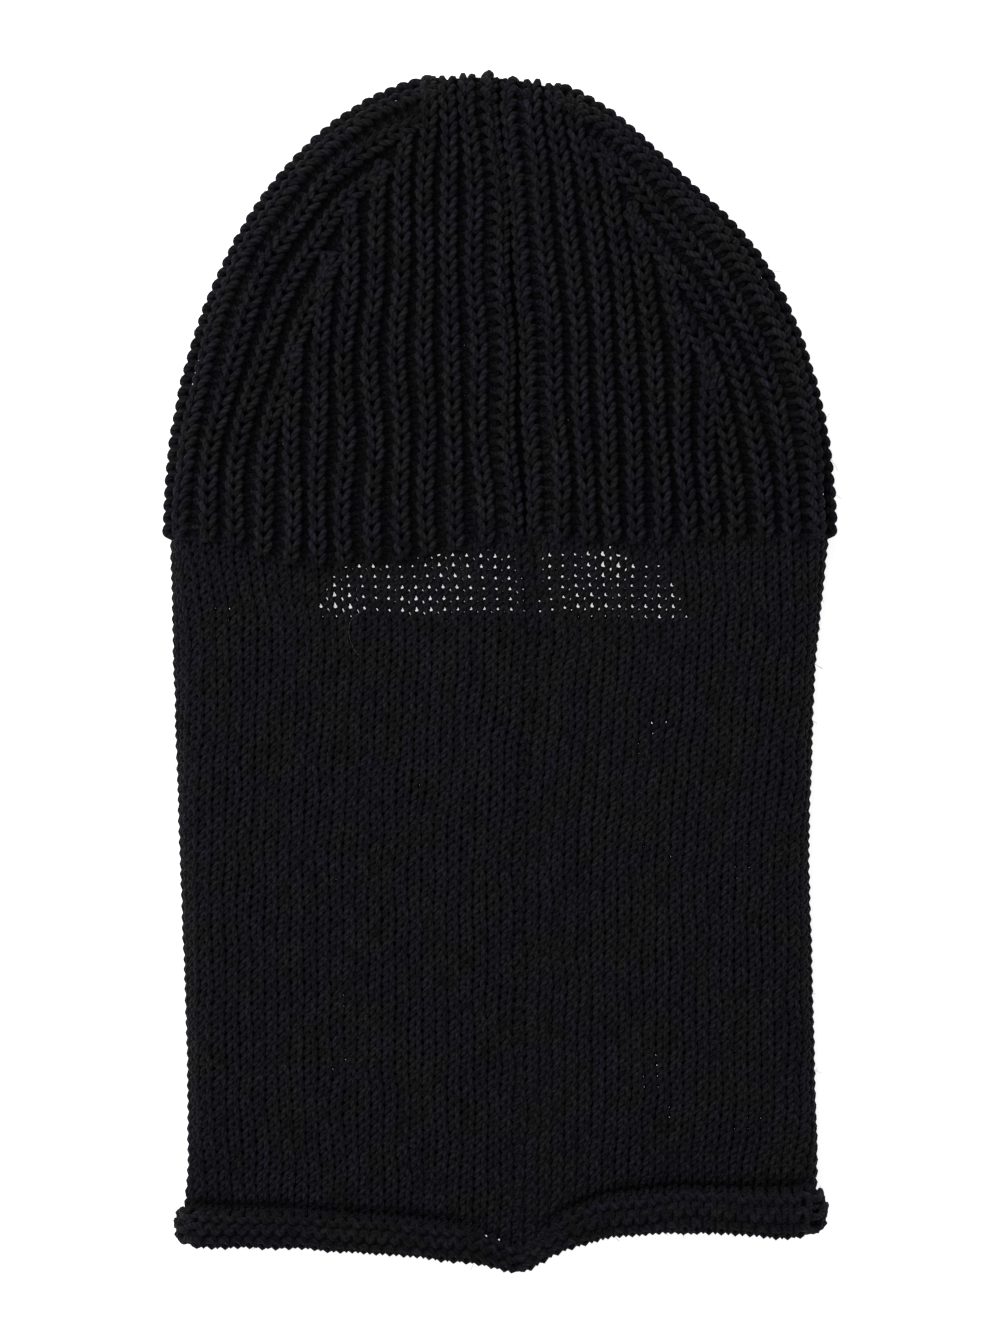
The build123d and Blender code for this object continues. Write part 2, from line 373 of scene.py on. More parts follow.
def plain_course(course, spare, curl=LOOP_CURL, gather=LOOP_GATHER, reach=LOOP_REACH, depth=LOOP_DEPTH):
    """One course of plain knit whose loops hang down, as in fabric worked from the top.

    It runs on into the seam by some spare wales at each end. The two legs of a loop lean together at its
    top and are gathered a little towards its middle."""
    steps = int(round((NECK_WALES + 2 * spare) * POINTS_PER_WALE))
    turns = np.linspace(-spare, NECK_WALES + spare, steps + 1)
    t = 2 * math.pi * turns
    wale = turns + (curl * np.sin(2 * t) - gather * np.sin(t)) / (2 * math.pi)
    down = course + reach * np.cos(t)
    wale = wale + LOOP_DRIFT_ROUND * drift_x(turns, down)
    down = down + LOOP_DRIFT_DOWN * drift_y(turns, down)
    place, facing = neck_point(wale, down)
    rolled = blend_step(down, NECK_COURSES, NECK_COURSES + 2)
    unevenness = LOOP_UNEVENNESS + (ROLL_UNEVENNESS - LOOP_UNEVENNESS) * rolled
    out = -depth * np.cos(2 * t) + unevenness * drift_x(turns * 1.7, down * 1.3)
    in_roll = blend_step(down, NECK_COURSES - 1, NECK_COURSES + 1)
    out = out * (1 - ROLL_END_CALM * in_roll * blend_step(np.abs(place[:, 0]), *ROLL_END_X))
    return place + facing * out[:, None], facing


# -------- eye opening

EYE_CENTRE_X = (EYE_LOW[0] + EYE_HIGH[0]) / 2
EYE_BOTTOM_Y = EYE_LOW[1]
EDGE_BAND = 3.5
EYE_TOP_Y = EYE_HIGH[1] - EDGE_BAND
EYE_MARGIN = 1.4
EYE_ARCH_X = [0.0, 36.0, 54.0, 61.5, 65.0]
EYE_ARCH_SHARE = [1.0, 0.94, 0.73, 0.33, 0.0]


def outside_eye(place, facing, margin):
    """True where a point isn't in the eye opening of the front layer."""
    rise = np.interp(np.abs(place[:, 0] - EYE_CENTRE_X), np.array(EYE_ARCH_X) + margin, EYE_ARCH_SHARE)
    top = EYE_BOTTOM_Y + rise * (EYE_TOP_Y - EYE_BOTTOM_Y) + margin
    within = (place[:, 1] > EYE_BOTTOM_Y - margin) & (place[:, 1] < top) & (rise > 0)
    return ~(within & (facing[:, 2] < -0.5))


def neck_yarn_radius(normals):
    """Yarn radius round the neck tube, fuller in the front layer."""
    return NECK_YARN_RADIUS + (FRONT_YARN_RADIUS - NECK_YARN_RADIUS) * blend_step(-normals[:, 2], 0.2, 0.8)


def make_neck(material):
    """Plain knit tube in bands of courses, open at the eyes."""
    edges = np.linspace(0, NECK_COURSES, NECK_BANDS + 1).astype(int)
    pieces = []
    for band, (first, last) in enumerate(zip(edges[:-1], edges[1:])):
        strands = []
        for course in range(first, last):
            strand = plain_course(course, SEAM_ALLOWANCE_WALES)
            strands += split_where(strand, outside_eye(*strand, EYE_MARGIN))
        piece = tube_mesh(f"neck_courses_{band + 1}", strands, neck_yarn_radius)
        pieces.append(finish_piece(piece, material, "neck_knit", "neck_tube_panel"))
    return pieces


def roll_core(course):
    """A yarn that runs along inside the roll, next to the given course, and closes the roll's ends."""
    wale = np.linspace(0, NECK_WALES, CORE_POINTS)
    half_turn = ROLL_COURSES * math.pi / ROLL_WRAP
    near_side = neck_point(wale, np.full_like(wale, NECK_COURSES))[0]
    far_side = neck_point(wale, np.full_like(wale, NECK_COURSES + half_turn))[0]
    centre = (near_side + far_side) / 2
    place, facing = neck_point(wale, np.full_like(wale, course))
    return centre + ROLL_CORE_SHARE * (place - centre), facing


def make_hem(material):
    """The last courses, which roll outwards and show their purl side, round a core of plain yarns."""
    strands = [
        plain_course(course, HEM_ALLOWANCE_WALES, HEM_LOOP_CURL, 0.0, HEM_LOOP_REACH, HEM_LOOP_DEPTH)
        for course in range(NECK_COURSES, NECK_COURSES + ROLL_COURSES)
    ]
    core_courses = np.linspace(NECK_COURSES, NECK_COURSES + ROLL_COURSES, ROLL_CORE_STRANDS)
    strands += [roll_core(course) for course in core_courses]
    piece = tube_mesh("rolled_hem_courses", strands, HEM_YARN_RADIUS)
    return finish_piece(piece, material, "neck_knit", "rolled_hem")


# -------- crown surface

CROWN_WALL = 6.5
CROWN_INSET = CROWN_WALL / 2
CROWN_LENGTH = CROWN_HIGH[1] - BASE_Y
CROWN_HALF_WIDTH = (CROWN_HIGH[0] - CROWN_LOW[0]) / 2
CROWN_TIP_X = -8.0
CROWN_MIDDLE_Z = (CROWN_LOW[2] + CROWN_HIGH[2]) / 2
CROWN_FOLD_RADIUS = (CROWN_HIGH[2] - CROWN_LOW[2]) / 2 - CROWN_INSET
RIB_PITCH = 9.3
RIB_WANDER = 0.9
RIB_JITTER = 0.08
FRONT_REST_GAP = 0.35
RIB_STITCH = 4.3
OUTER_RIBS = 4
INNER_RIB_SCALE = 0.92
RIB_MERGE_OVERLAP = 4.0
MERGE_TAPER = 4
MERGED_SCALE = 0.55
TIP_FACING = 0.7
FOLD_YARN_OUT = 0.4
TIP_YARNS_OUT = (-0.8, -2.6)
TIP_YARN_OVERLAP = 14.0

# Lines between outer ribs, which follow the outline, and inner ribs, which run up the middle and end here
# as the crown narrows, with the number of inner ribs at each height.
NARROWING_Y = [30.0, 47.0, 110.0, 144.0, 160.0, 173.0, 186.0, 196.0, 207.0]
LEFT_LINE_X = [-76.5, -76.5, -69.5, -59.0, -49.0, -40.0, -30.0, -25.0, -24.0]
LEFT_RIBS = [9.0, 9.0, 8.4, 7.4, 6.4, 5.4, 4.3, 3.6, 3.2]
RIGHT_LINE_X = [76.5, 76.5, 69.5, 58.0, 48.0, 39.5, 28.5, 21.5, 17.0]
RIGHT_RIBS = [8.0, 8.0, 7.4, 6.6, 5.7, 4.8, 3.8, 3.0, 2.5]

# Lower edge of the ribs on the back, which bulges and sags over the neck, most on the left.
RIB_EDGE_X = [-116.0, -92.0, -78.0, -66.0, -50.0, -30.0, -12.0, 5.0, 17.0, 48.0, 69.0, 116.0]
RIB_EDGE_Y = [47.0, 45.0, 39.0, 36.0, 37.5, 40.0, 43.0, 45.5, 46.0, 44.5, 45.5, 47.0]
BULGE_LEFT = 4.8
BULGE_RIGHT = 3.4
BULGE_REACH = 42.0
BULGE_TUCK = 6.0
BULGE_BLEND_X = (-20, 40)
CROWN_UNEVENNESS = 0.7

# Valley of the crown's back seam, whose neighbouring ribs lean into it.
CROWN_VALLEY_DEPTH = 4.0
CROWN_VALLEY_WIDTH = 5.5
CROWN_VALLEY_LEAN = 1.3

# The right shoulder of the crown slopes more than the left one.
SHOULDER_DROP = 7.0
SHOULDER_X = 62.0
SHOULDER_WIDTH = 23.0
SHOULDER_LOW_Y = 105.0
SHOULDER_HIGH_Y = 155.0

rib_edge_at = smooth_curve(RIB_EDGE_X, RIB_EDGE_Y, reach=4)
left_line_at = smooth_curve(NARROWING_Y, LEFT_LINE_X, reach=4)
right_line_at = smooth_curve(NARROWING_Y, RIGHT_LINE_X, reach=4)
left_ribs_at = smooth_curve(NARROWING_Y, LEFT_RIBS, reach=4)
right_ribs_at = smooth_curve(NARROWING_Y, RIGHT_RIBS, reach=4)
crown_wave = smooth_noise(21, 60.0)
rib_wander = smooth_noise(22, 38.0)


def outline_top_y(x):
    """Y of the crown's middle line of fabric at its outline, above x."""
    reach = np.where(x > CROWN_TIP_X, CROWN_HALF_WIDTH - CROWN_TIP_X, CROWN_HALF_WIDTH + CROWN_TIP_X)
    share = np.clip((x - CROWN_TIP_X) / (reach - CROWN_INSET), -1, 1)
    return BASE_Y + (CROWN_LENGTH - CROWN_INSET) * np.sqrt(1 - share**2)


def crown_bulge(x, y):
    """How far the back of the crown stands out over the neck near its lower edge."""
    height = BULGE_LEFT + (BULGE_RIGHT - BULGE_LEFT) * blend_step(x, *BULGE_BLEND_X)
    tuck = 0.5 + 0.5 * blend_step(y - rib_edge_at(x), 0, BULGE_TUCK)
    return height * tuck * (1 - blend_step(y, BASE_Y, BASE_Y + BULGE_REACH))


def settle_back(path, normals, layer):
    """Drops the right shoulder, adds the bulge and the soft unevenness of the upper layer, and lifts the
    lower layer clear of the floor."""
    x, y = path[:, 0], path[:, 1]
    shoulder = np.exp(-(((x - SHOULDER_X) / SHOULDER_WIDTH) ** 2))
    path[:, 1] = y - SHOULDER_DROP * shoulder * blend_step(y, SHOULDER_LOW_Y, SHOULDER_HIGH_Y)
    if layer > 0:
        upright = np.clip(normals[:, 2], 0, 1)
        path[:, 2] += upright * (crown_bulge(x, y) + CROWN_UNEVENNESS * crown_wave(x, y))
        path[:, 0] += upright * RIB_WANDER * rib_wander(x, y)
    else:
        path[:, 2] += FRONT_REST_GAP
    return path, unit(normals)


def outer_rib_path(index, right, layer):
    """Path of a rib that follows the outline. Index 0 lies on the side fold. Layer is 1 back, -1 front."""
    arc = index * RIB_PITCH
    tilt = min(arc / CROWN_FOLD_RADIUS, math.pi / 2)
    inset = CROWN_FOLD_RADIUS * (1 - math.cos(tilt)) + max(arc - CROWN_FOLD_RADIUS * math.pi / 2, 0)
    reach = CROWN_HALF_WIDTH - CROWN_TIP_X if right else CROWN_HALF_WIDTH + CROWN_TIP_X
    reach = reach - CROWN_INSET - inset
    length = CROWN_LENGTH - CROWN_INSET - inset
    angle = np.linspace(0, math.pi / 2, 220)
    side = 1.0 if right else -1.0
    x = CROWN_TIP_X + side * reach * np.cos(angle)
    y = BASE_Y + length * np.sin(angle)
    plan = unit(np.stack([side * length * np.cos(angle), reach * np.sin(angle), 0 * angle], axis=-1))
    edge_y = rib_edge_at(x[0]) if layer > 0 else BASE_Y
    start = np.linspace(edge_y, BASE_Y, 8)[:-1]
    x = np.concatenate([np.full(len(start), x[0]), x])
    y = np.concatenate([start, y])
    plan = np.concatenate([np.repeat(plan[:1], len(start), axis=0), plan])
    z = np.full_like(x, CROWN_MIDDLE_Z + layer * CROWN_FOLD_RADIUS * math.sin(tilt))
    normal = plan * math.cos(tilt)
    normal[:, 2] = layer * math.sin(tilt)
    line = right_line_at(y) if right else left_line_at(y)
    keep = side * (x - line) > -RIB_MERGE_OVERLAP
    stop = len(x) if keep.all() else np.argmin(keep)
    return settle_back(np.stack([x, y, z], axis=-1)[:stop], normal[:stop], layer)


def inner_rib_path(index, right, layer):
    """Path of a rib that runs up the middle of the crown and over the tip, or ends where ribs merge."""
    seam = seam_x_at if layer > 0 else (lambda y: 0.0 * y)
    line = right_line_at if right else left_line_at
    ribs = right_ribs_at if right else left_ribs_at
    edge_x = (line(BASE_Y) - seam(BASE_Y)) * (index - 0.5) / ribs(BASE_Y) + seam(BASE_Y)
    y = np.arange(rib_edge_at(edge_x) if layer > 0 else BASE_Y, CROWN_HIGH[1], 0.5)
    x = seam(y) + (line(y) - seam(y)) * (index - 0.5) / ribs(y)
    flat_end = outline_top_y(x) - CROWN_FOLD_RADIUS
    alive = (y < flat_end) & (index - 0.8 < ribs(y))
    stop = len(y) if alive.all() else np.argmin(alive)
    over_tip = index - 0.8 < ribs(y[min(stop, len(y) - 1)])
    x, y = x[:stop], y[:stop]
    z = np.full_like(x, CROWN_FOLD_RADIUS)
    normal = np.tile([0.0, 0.0, 1.0], (len(x), 1))
    if over_tip:
        turn = np.linspace(0, math.pi / 2, 24)[1:]
        x = np.concatenate([x, np.full(len(turn), x[-1])])
        y = np.concatenate([y, y[-1] + CROWN_FOLD_RADIUS * np.sin(turn)])
        z = np.concatenate([z, CROWN_FOLD_RADIUS * np.cos(turn)])
        normal = np.concatenate([normal, np.stack([0 * turn, np.sin(turn), np.cos(turn)], axis=-1)])
    if layer > 0:
        off_seam = x - seam_x_at(y)
        closeness = np.exp(-((off_seam / CROWN_VALLEY_WIDTH) ** 2))
        z = z - CROWN_VALLEY_DEPTH * closeness
        normal[:, 0] -= CROWN_VALLEY_LEAN * np.sign(np.round(off_seam)) * closeness
    normal[:, 2] *= layer
    path = np.stack([x, y, CROWN_MIDDLE_Z + layer * z], axis=-1)
    return settle_back(path, normal, layer)


# One rib stitch, right half: across, up the rib, and out of the fabric. The left half mirrors it.
RIB_LOOP = np.array([
    (0.00, 2.30, -1.30),
    (1.45, 2.30, -0.80),
    (2.30, 1.80, 0.70),
    (1.90, 0.35, 1.95),
    (1.20, -0.85, 2.05),
    (0.75, -1.75, 0.90),
    (1.40, -2.45, -1.30),
    (3.00, -2.40, -3.20),
    (4.65, -1.90, -3.80),
])

# One purl stitch in the groove between ribs: a low bump that lies across the groove.
GROOVE_LOOP = np.array([
    (0.00, 0.70, -3.30),
    (1.15, 0.50, -3.40),
    (2.10, -0.30, -3.60),
    (2.90, -1.10, -3.90),
])

# One stitch of an edge chain, which lies along the edge.
CHAIN_LOOP = np.array([
    (0.00, 2.60, -0.50),
    (1.00, 2.20, -0.20),
    (1.45, 1.00, 0.50),
    (1.05, -0.80, 0.80),
    (0.45, -2.20, 0.20),
    (0.25, -3.00, -0.60),
])
CHAIN_STITCH = 4.2
CHAIN_JITTER = 0.06


def catmull_rom(points, per_span):
    """Smooth line through points, with per_span steps between neighbours."""
    padded = np.concatenate([2 * points[:1] - points[1:2], points, 2 * points[-1:] - points[-2:-1]])
    t = np.arange(per_span)[:, None] / per_span
    spans = []
    for a, b, c, d in zip(padded[:-3], padded[1:-2], padded[2:-1], padded[3:]):
        spans.append(0.5 * (2 * b + (c - a) * t + (2 * a - 5 * b + 4 * c - d) * t**2
                            + (3 * b - a - 3 * c + d) * t**3))
    return np.concatenate([*spans, points[-1:]])


def whole_loop(half, per_span):
    """A full loop from its right half."""
    left = half[::-1] * np.array([-1.0, 1.0, 1.0])
    return catmull_rom(np.concatenate([left[:-1], half]), per_span)


def sample_line(distance, length, values):
    """Values along a line, read at distances from its start."""
    return np.stack([np.interp(distance, length, values[:, axis]) for axis in range(3)], axis=-1)


def stitch_column(path, normals, loop, pitch, scale=1.0, taper=0, jitter=0.0, seed=0):
    """Loops stacked along a path, each one laid on the surface where it is."""
    random = np.random.default_rng(seed)
    steps = np.linalg.norm(np.diff(path, axis=0), axis=1)
    length = np.concatenate([[0], np.cumsum(steps)])
    count = max(int(length[-1] / pitch), 1)
    tangent = unit(np.gradient(path, axis=0))
    strands = []
    for number in range(count):
        remaining = (count - number) / taper if taper else 1.0
        shrink = min(1.0, MERGED_SCALE + (1 - MERGED_SCALE) * remaining)
        local = loop * np.array([scale * shrink, 1.0, shrink]) * (1 + jitter * random.uniform(-1, 1, 3))
        local = local + jitter * random.uniform(-1, 1, 3)
        distance = (number + 0.5) * pitch + local[:, 1]
        inside = np.clip(distance, 0, length[-1])
        centre = sample_line(inside, length, path)
        up = sample_line(inside, length, tangent)
        out = unit(sample_line(inside, length, normals))
        centre = centre + up * (distance - inside)[:, None]
        across = unit(np.cross(up, out))
        strands.append((centre + across * local[:, :1] + out * local[:, 2:], out))
    return strands


def rib_columns(layer, right):
    """Every rib of one layer on one side: its path function, its index, and its scale.

    The rib on the side fold, index 0, belongs to the back layer."""
    first = 0 if layer > 0 else 1
    ribs = right_ribs_at if right else left_ribs_at
    outer = [(outer_rib_path, index, 1.0) for index in range(first, OUTER_RIBS + 1)]
    total = int(round(float(ribs(BASE_Y))))
    return outer + [(inner_rib_path, index, INNER_RIB_SCALE) for index in range(1, total + 1)]


def groove_columns(layer, right):
    """Every groove of one layer on one side, beside its rib. The right side has the one at the middle."""
    grooves = []
    for path_of, index, scale in rib_columns(layer, right):
        grooves.append((path_of, index + (0.5 if path_of is inner_rib_path else -0.5), scale))
    if right:
        grooves.append((inner_rib_path, 0.5, 1.0))
    return grooves


def column_strands(columns, layer, right, loop, pitch):
    """Strands of all stitches in some columns. A rib that merges into another one gets narrower first,
    and a rib that reaches the fold at the tip keeps its width."""
    strands = []
    for path_of, index, scale in columns:
        path, normals = path_of(index, right, layer)
        if len(path) > 4:
            seed = int(100 * index + 50) + right
            taper = 0 if normals[-1, 1] > TIP_FACING else MERGE_TAPER
            strands += stitch_column(path, normals, loop, pitch, scale, taper, RIB_JITTER, seed)
    return strands


def fold_strands(right):
    """Yarns behind the stitches of the side fold and of the tip, where the fabric is seen edge on."""
    path, normals = outer_rib_path(0, right, 1)
    strands = [(path + FOLD_YARN_OUT * normals, normals)]
    start = path[-1, 0] + (TIP_YARN_OVERLAP if right else -TIP_YARN_OVERLAP)
    x = np.linspace(start, CROWN_TIP_X, 24)
    up = np.tile([0.0, 1.0, 0.0], (len(x), 1))
    for out in TIP_YARNS_OUT:
        tip = np.stack([x, outline_top_y(x) + out, np.full_like(x, CROWN_MIDDLE_Z)], axis=-1)
        strands.append((tip, up))
    return strands


def make_crown(rib_yarn, groove_shade_yarn):
    """Ribbed crown: raised ribs and the grooves between them, each in four groups.

    Cross yarns close the backs of the ribs, and the front layer, which lies relaxed, has fuller yarn."""
    pieces = []
    for layer, layer_name in ((1, "back"), (-1, "front")):
        detail = 2 if layer > 0 else 1
        groove_radius = CROWN_YARN_RADIUS if layer > 0 else FRONT_YARN_RADIUS
        rib_loop = whole_loop(RIB_LOOP, detail)
        groove_loop = whole_loop(GROOVE_LOOP, detail)
        backing_loop = whole_loop(GROOVE_LOOP, 1)
        for right, side_name in ((False, "left"), (True, "right")):
            columns = rib_columns(layer, right)
            between = groove_columns(layer, right)
            ribs = column_strands(columns, layer, right, rib_loop, RIB_STITCH)
            grooves = column_strands(between, layer, right, groove_loop, RIB_STITCH / 2)
            grooves += column_strands(columns, layer, right, backing_loop, RIB_STITCH)
            if layer > 0:
                grooves += fold_strands(right)
            # Grooves, cross yarns and fold yarns take the darker groove colours, painted shade for the
            # depth of the grooves.
            for part_name, strands, yarn, radius in (
                ("ribs", ribs, rib_yarn, CROWN_YARN_RADIUS),
                ("grooves", grooves, groove_shade_yarn, groove_radius),
            ):
                piece = tube_mesh(f"crown_{part_name}_{layer_name}_{side_name}", strands, radius)
                pieces.append(finish_piece(piece, yarn, "crown_knit", "crown_rib_panel"))
    return pieces


# -------- stray fibres

NECK_FIBRES = 3600
CROWN_FIBRES = 4200
FIBRE_STEPS = 6
FIBRE_SHORT = 2.0
FIBRE_LONG = 6.5
FIBRE_SIDES = 3
FIBRE_BEND = 0.5
FIBRE_LIFT = (0.05, 0.3)
FIBRE_CURVE = 2.2

# One long loose hair that lies on the back below the crown: its x and y.
LOOSE_HAIR = [(-46.0, 21.5), (-50.6, 18.0), (-51.6, 13.5), (-50.2, 8.5), (-47.2, 4.5)]
LOOSE_HAIR_HEIGHT = 2.9


def make_loose_hair(material):
    """The long hair, laid on the upper layer of the neck."""
    plan = np.array(LOOSE_HAIR)
    height = np.full((len(plan), 1), BACK_MIDDLE_Z + LOOSE_HAIR_HEIGHT)
    line = catmull_rom(np.concatenate([plan, height], axis=1), 6)
    strand = (line, np.tile([0.0, 0.0, 1.0], (len(line), 1)))
    finish_piece(tube_mesh("loose_hair", [strand], HAIR_RADIUS, FIBRE_SIDES), material, "neck_knit")


def grow_fibres(name, pieces, count, material, slot):
    """Fine fibres that stand out of the yarns of some pieces, each a small bent curve."""
    random = np.random.default_rng(count)
    total = sum(len(piece.data.vertices) for piece in pieces)
    strands = []
    t = np.linspace(0, 1, FIBRE_STEPS)[:, None]
    for piece in pieces:
        size = len(piece.data.vertices)
        places, facings = np.empty(3 * size), np.empty(3 * size)
        piece.data.vertices.foreach_get("co", places)
        piece.data.vertices.foreach_get("normal", facings)
        chosen = random.integers(0, size, int(round(count * size / total)))
        for place, facing in zip(places.reshape(-1, 3)[chosen] / MM, facings.reshape(-1, 3)[chosen]):
            heading = unit(np.cross(facing, random.normal(size=3)))
            sideways = np.cross(facing, heading)
            length = random.uniform(FIBRE_SHORT, FIBRE_LONG)
            bend, lift = random.uniform(-FIBRE_BEND, FIBRE_BEND), random.uniform(*FIBRE_LIFT)
            rise = facing * lift * np.sin(FIBRE_CURVE * t)
            line = place + length * (heading * t + sideways * bend * t**2 + rise)
            line[:, 2] = np.maximum(line[:, 2], 2 * FIBRE_RADIUS)
            strands.append((line, np.tile(facing, (FIBRE_STEPS, 1))))
    piece = tube_mesh(name, strands, FIBRE_RADIUS, FIBRE_SIDES)
    return finish_piece(piece, material, slot)


# -------- edges, seams and label

ARCH_STEPS = 14
JOIN_DEPTH = 2.6
JOIN_GAP_HALF_WIDTH = 60.0
SEWING_PITCH = 5.5
SEWING_SWAY = 1.7
RING_POINTS = 900
GATHER_SWAY = 1.3
ALLOWANCE_SCALE = 1.7
LABEL_TAPE = 0.34
LABEL_FOLD_RADIUS = 0.36
LABEL_ROWS = 28
LABEL_WAVE = 0.35
LABEL_STITCH_PITCH = 3.2
LABEL_STITCH_STEPS = 9
CROWN_SEAM_LOW_Y = BASE_Y + 1.0
CROWN_SEAM_HIGH_Y = 188.0
CROWN_SEAM_Z = 12.8
NECK_SEAM_Z = 17.4


def chain_piece(node, path, normals, material, slot, scale=1.0, strands=()):
    """A chain along a path that stands for one CAD node, with any other strands of the same piece."""
    loop = whole_loop(CHAIN_LOOP, 2)
    chain = stitch_column(path, normals, loop, CHAIN_STITCH, scale, jitter=CHAIN_JITTER, seed=len(path))
    piece = tube_mesh(f"{node}_yarn", chain + list(strands), EDGE_YARN_RADIUS)
    return finish_piece(piece, material, slot, node)


def make_eye_edges(material):
    """Chains along the arch above the eyes and along the nearly straight edge below them."""
    arch_x = np.array(EYE_ARCH_X[::-1]) + EDGE_BAND / 2
    arch_y = EYE_BOTTOM_Y + np.array(EYE_ARCH_SHARE[::-1]) * (EYE_TOP_Y - EYE_BOTTOM_Y) + EDGE_BAND / 2
    right = np.stack([arch_x, arch_y, 0 * arch_x], axis=-1)
    right[-1, 0] = 0.0
    left = right[-2::-1] * np.array([-1.0, 1.0, 1.0])
    arch = catmull_rom(np.concatenate([right, left]), ARCH_STEPS)
    arch += np.array([EYE_CENTRE_X, 0.0, FRONT_MIDDLE_Z])
    lower_x = np.linspace(EYE_LOW[0], EYE_HIGH[0], 120)
    lower_y = EYE_BOTTOM_Y - EDGE_BAND / 2
    lower = np.stack([lower_x, np.full(120, lower_y), np.full(120, FRONT_MIDDLE_Z)], axis=-1)
    for name, path in (("eye_opening_upper_edge", arch), ("eye_opening_lower_edge", lower)):
        down = np.tile([0.0, 0.0, -1.0], (len(path), 1))
        chain_piece(name, path, down, material, "edge_yarn")


def make_hem_chain(material):
    """Bound-off chain along the free edge of the roll."""
    wale = np.linspace(0, NECK_WALES, RING_POINTS)
    path, facing = neck_point(wale, np.full_like(wale, NECK_COURSES + ROLL_COURSES + 0.2))
    chain_piece("hem_bind_off_chain", path, facing, material, "edge_yarn")


def make_join_seam(material):
    """Linking chain inside the join of crown and neck, which stops at each side of the eye opening."""
    wale = np.linspace(0, NECK_WALES, RING_POINTS)
    place, facing = neck_section_at(np.full_like(wale, BASE_Y - 1.5), wale)
    place = place - facing * JOIN_DEPTH
    keep = (facing[:, 2] > -0.5) | (np.abs(place[:, 0] - EYE_CENTRE_X) > JOIN_GAP_HALF_WIDTH)
    strands = []
    loop = whole_loop(CHAIN_LOOP, 2)
    for path, normals in split_where((place, -facing), keep):
        strands += stitch_column(path, normals, loop, CHAIN_STITCH, jitter=CHAIN_JITTER, seed=len(path))
    piece = tube_mesh("crown_to_neck_seam_yarn", strands, EDGE_YARN_RADIUS)
    finish_piece(piece, material, "seam_yarn", "crown_to_neck_seam")


def make_back_seam(node, low_y, high_y, middle_z, material):
    """Turned-in edges of a centre-back seam, with the sewing yarn that zigzags between them."""
    y = np.arange(low_y, high_y, 0.6)
    path = np.stack([seam_x_at(y), y, np.full_like(y, middle_z)], axis=-1)
    up = np.tile([0.0, 0.0, 1.0], (len(y), 1))
    phase = 2 * math.pi * y / SEWING_PITCH
    sway = np.stack([SEWING_SWAY * np.sin(phase), 0 * y, 1.6 + 0.5 * np.cos(2 * phase)], axis=-1)
    chain_piece(node, path, up, material, "seam_yarn", ALLOWANCE_SCALE, [(path + sway, up)])


def make_gather_yarn(material):
    """Yarn drawn through the last stitches inside the tip, in and out of the fabric."""
    low, high = node_box("crown_gather_yarn")
    x = np.linspace(low[0], high[0], 160)
    phase = 2 * math.pi * (x - low[0]) / RIB_PITCH
    y = (low[1] + high[1]) / 2 + GATHER_SWAY * np.sin(phase)
    z = (low[2] + high[2]) / 2 + 1.2 * np.cos(phase)
    up = np.tile([0.0, 0.0, 1.0], (len(x), 1))
    piece = tube_mesh("crown_gather_yarn_strand", [(np.stack([x, y, z], axis=-1), up)], EDGE_YARN_RADIUS)
    finish_piece(piece, material, "seam_yarn", "crown_gather_yarn")


def folded_tape_section():
    """Middle line of the folded label in x and z: out, round the fold and back."""
    out_x = np.linspace(LABEL_LOW[0], LABEL_HIGH[0] - LABEL_FOLD_RADIUS - LABEL_TAPE, 24)
    turn = np.linspace(math.pi / 2, -math.pi / 2, 9)[1:-1]
    fold_x = out_x[-1] + LABEL_FOLD_RADIUS * np.cos(turn)
    middle_z = (LABEL_LOW[2] + LABEL_HIGH[2]) / 2 - 0.6
    x = np.concatenate([out_x, fold_x, out_x[::-1]])
    level = np.full(len(out_x), LABEL_FOLD_RADIUS)
    z = np.concatenate([level, LABEL_FOLD_RADIUS * np.sin(turn), -level]) + middle_z
    return x, z


def make_label_stitches(top_z, yarn):
    """Short stitches along the label's sewn side, on top of the tape."""
    t = np.linspace(0, math.pi, LABEL_STITCH_STEPS)
    x = np.full(LABEL_STITCH_STEPS, LABEL_LOW[0] + 1.5)
    z = top_z + 0.1 + 0.25 * np.sin(t)
    up = np.tile([0.0, 0.0, 1.0], (LABEL_STITCH_STEPS, 1))
    stitches = []
    for y in np.arange(LABEL_LOW[1] + 1.5, LABEL_HIGH[1] - 2.0, LABEL_STITCH_PITCH):
        stitches.append((np.stack([x, y + 1.1 * (1 - np.cos(t)), z], axis=-1), up))
    piece = tube_mesh("care_label_stitches", stitches, LABEL_YARN_RADIUS)
    return finish_piece(piece, yarn, "seam_yarn")


